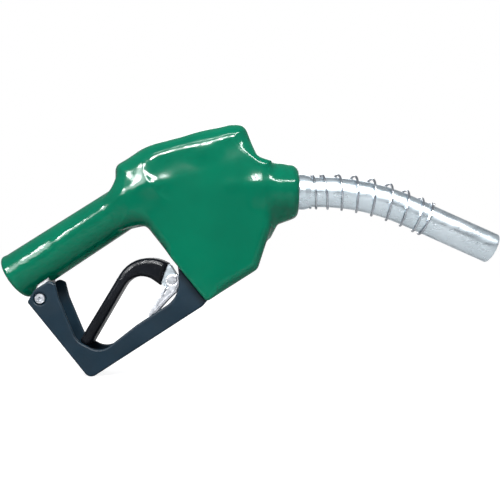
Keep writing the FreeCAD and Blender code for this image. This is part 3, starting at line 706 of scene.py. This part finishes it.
# Coil: axis travel of each turn's top from the coil's first point, closed at both ends
COIL_TOPS = [-0.9, 0.2, 7.6, 19.6, 31.8, 45.0, 58.4, 71.6, 84.6, 93.6, 95.6]
COIL_START = -5.8            # from the bend's start
COIL_FIRST_TURN, COIL_LAST_TURN = -0.45, 9.05
BELLY_FROM, BELLY_TURNS, BELLY_LIFT = 0.6, 7.0, 0.95     # where the coil stands off the spout
COIL_GAP = 0.12
COIL_SIDES, COIL_STEPS = 14, 48


def coil_travel(turns):
    """Axis travel after a number of turns."""
    return float(np.interp(turns, range(-1, len(COIL_TOPS) - 1), COIL_TOPS))


def coil_centre(turns):
    """A point of the wire's centre line; the travel is averaged so that the pitch changes softly."""
    smooth = sum(coil_travel(turns + d) for d in (-0.3, -0.15, 0, 0.15, 0.3)) / 5
    share = min(max((turns - BELLY_FROM) / BELLY_TURNS, 0), 1)
    belly = max(0.0, math.sin(math.pi * share))
    radius = SPOUT_R + COIL_WIRE_R + COIL_GAP + belly
    return np.array(on_ring(COIL_START + smooth, radius, 2 * math.pi * turns, BELLY_LIFT * belly))


def coil_mesh():
    """Round wire swept along the coil, with flat ends."""
    turns = np.arange(COIL_FIRST_TURN, COIL_LAST_TURN, 1 / COIL_STEPS)
    line = np.array([coil_centre(t) for t in turns])
    along = np.gradient(line, axis=0)
    along /= np.linalg.norm(along, axis=1, keepdims=True)
    verts = []
    for t, point, ahead in zip(turns, line, along):
        (x, z), _ = spout_point(COIL_START + coil_travel(t))
        out = point - np.array([x, 0, z])
        out -= ahead * (out @ ahead)
        out /= np.linalg.norm(out)
        side = np.cross(ahead, out)
        for k in range(COIL_SIDES):
            a = 2 * math.pi * k / COIL_SIDES
            verts.append(point + COIL_WIRE_R * (out * math.cos(a) + side * math.sin(a)))
    faces = ring_faces(len(turns), COIL_SIDES)
    last = (len(turns) - 1) * COIL_SIDES
    faces.append(tuple(range(COIL_SIDES))[::-1])
    faces.append(tuple(last + k for k in range(COIL_SIDES)))
    return verts, faces


verts, faces = coil_mesh()
coil = make_piece("coil_wire", verts, faces, "spring_steel", "nozzle_body")
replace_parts(coil, "spout_coil_spring")


# ------------------------------------------------------------------ inlet thread

THREAD_PITCH, THREAD_DEPTH, THREAD_SIDES = 2.2, 1.0, 72
THREAD_START, THREAD_END, THREAD_RUN_OUT = 1.2, INLET_DEPTH - 1.0, 1.5
THREAD_BACK_R = INLET_R + 0.4


def thread_mesh():
    """Threaded sleeve inside the inlet, closed at its outer wall."""
    stations = np.linspace(THREAD_START, THREAD_END, 90)
    rows = [(s, None) for s in stations]
    rows = [(THREAD_START, THREAD_BACK_R)] + rows + [(THREAD_END, THREAD_BACK_R)]
    verts = []
    for s, fixed in rows:
        fade = min(1.0, (s - THREAD_START) / THREAD_RUN_OUT, (THREAD_END - s) / THREAD_RUN_OUT)
        for k in range(THREAD_SIDES):
            turn = 2 * math.pi * k / THREAD_SIDES
            phase = (s / THREAD_PITCH - k / THREAD_SIDES) % 1.0
            tooth = 1 - abs(2 * phase - 1)
            radius = fixed or INLET_R - 0.05 - THREAD_DEPTH * fade * tooth
            up, y = radius * math.cos(turn), radius * math.sin(turn)
            verts.append((s * math.cos(HANDLE_ANGLE) - up * math.sin(HANDLE_ANGLE), y,
                          s * math.sin(HANDLE_ANGLE) + up * math.cos(HANDLE_ANGLE)))
    return verts, [f[::-1] for f in ring_faces(len(rows), THREAD_SIDES, True)]


verts, faces = thread_mesh()
make_piece("inlet_thread", verts, faces, "machined_aluminium", "nozzle_body")


# ------------------------------------------------------------------ floor, light and camera

FLOOR_REACH, FLOOR_GAP = 30.0, 0.0004                     # metres
CENTRE = Vector((0.17, 0.0, 0.03))                       # what the lights point at
CAMERA_PLACE, LENS, SENSOR = (0.18657, -0.5, 0.02226), 45.28, 36.0


def add_floor():
    """White paper under the guard; what it sends back to the nozzle is dimmer than what is seen."""
    floor_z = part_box("lever_guard")[0].z - FLOOR_GAP
    corners = [(sx * FLOOR_REACH, sy * FLOOR_REACH, floor_z)
               for sx, sy in ((-1, -1), (1, -1), (1, 1), (-1, 1))]
    mesh = bpy.data.meshes.new("floor")
    mesh.from_pydata(corners, [], [(0, 1, 2, 3)])
    paper = Finish("floor_paper", 0.8, spec=0.1)
    paper.colour(paper.noise(6, 3), [(0.3, (0.33, 0.33, 0.335)), (0.7, (0.36, 0.36, 0.365))])
    paper.set("Emission Color", (1, 1, 1, 1))
    paper.set("Emission Strength", 0.9)
    shade = paper.node("ShaderNodeBsdfDiffuse")
    shade.inputs["Color"].default_value = (0.5, 0.5, 0.5, 1)
    choose = paper.node("ShaderNodeMixShader")
    paper.link(paper.node("ShaderNodeLightPath").outputs["Is Camera Ray"], choose.inputs["Fac"])
    paper.link(shade.outputs["BSDF"], choose.inputs[1])
    paper.link(paper.shader.outputs["BSDF"], choose.inputs[2])
    output = paper.tree.nodes["Material Output"]
    paper.link(choose.outputs["Shader"], output.inputs["Surface"])
    mesh.materials.append(paper.made)
    new_object("floor", mesh)


def softbox(name, place, width, height, power, lights=True, mirrored=True):
    """Rectangular light aimed at the nozzle, lighting it, showing in its gloss, or both."""
    data = bpy.data.lights.new(name, "AREA")
    data.shape = "RECTANGLE"
    data.size, data.size_y = width, height
    data.energy = power
    lamp = new_object(name, data)
    lamp.location = place
    lamp.rotation_euler = (CENTRE - Vector(place)).to_track_quat("-Z", "Y").to_euler()
    lamp.visible_diffuse = lights
    lamp.visible_glossy = mirrored


def add_world():
    """Dim studio around the nozzle, white where the camera sees it."""
    world = bpy.data.worlds.new("studio")
    world.use_nodes = True
    tree = world.node_tree
    studio = tree.nodes["Background"]
    studio.inputs["Color"].default_value = (0.93, 0.96, 1.0, 1)
    studio.inputs["Strength"].default_value = 0.3
    seen = tree.nodes.new("ShaderNodeBackground")
    seen.inputs["Color"].default_value = (1, 1, 1, 1)
    seen.inputs["Strength"].default_value = 1.0
    path = tree.nodes.new("ShaderNodeLightPath")
    mix = tree.nodes.new("ShaderNodeMixShader")
    tree.links.new(path.outputs["Is Camera Ray"], mix.inputs["Fac"])
    tree.links.new(studio.outputs["Background"], mix.inputs[1])
    tree.links.new(seen.outputs["Background"], mix.inputs[2])
    tree.links.new(mix.outputs["Shader"], tree.nodes["World Output"].inputs["Surface"])
    bpy.context.scene.world = world
    bpy.context.scene.view_settings.view_transform = "Standard"


def add_camera():
    """Camera level with the nozzle, looking along +Y."""
    data = bpy.data.cameras.new("camera")
    data.sensor_width = SENSOR
    data.lens = LENS
    camera = new_object("camera", data)
    camera.location = CAMERA_PLACE
    camera.rotation_euler = (math.pi / 2, 0, 0)
    bpy.context.scene.camera = camera


add_floor()
softbox("key", (0.10, -0.62, 0.72), 0.62, 0.26, 12.5, mirrored=False)
softbox("strip", (0.12, -0.62, 0.80), 0.70, 0.035, 4.5, lights=False)
softbox("window_rear", (-0.10, -0.62, 0.45), 0.07, 0.11, 4.2, lights=False)
softbox("window_middle", (0.05, -0.62, 0.46), 0.06, 0.11, 3.8, lights=False)
softbox("window_front", (0.16, -0.62, 0.47), 0.06, 0.11, 3.6, lights=False)
softbox("bar", (0.52, -0.62, 0.68), 0.60, 0.08, 11.0, lights=False)
softbox("handle_window", (-0.50, -0.62, 0.50), 0.16, 0.09, 4.2, lights=False)
softbox("handle_glow", (-0.45, -0.70, 0.40), 0.30, 0.30, 5.0, lights=False)
softbox("back", (0.2, 0.95, 0.5), 0.8, 0.4, 3.0)
add_world()
add_camera()
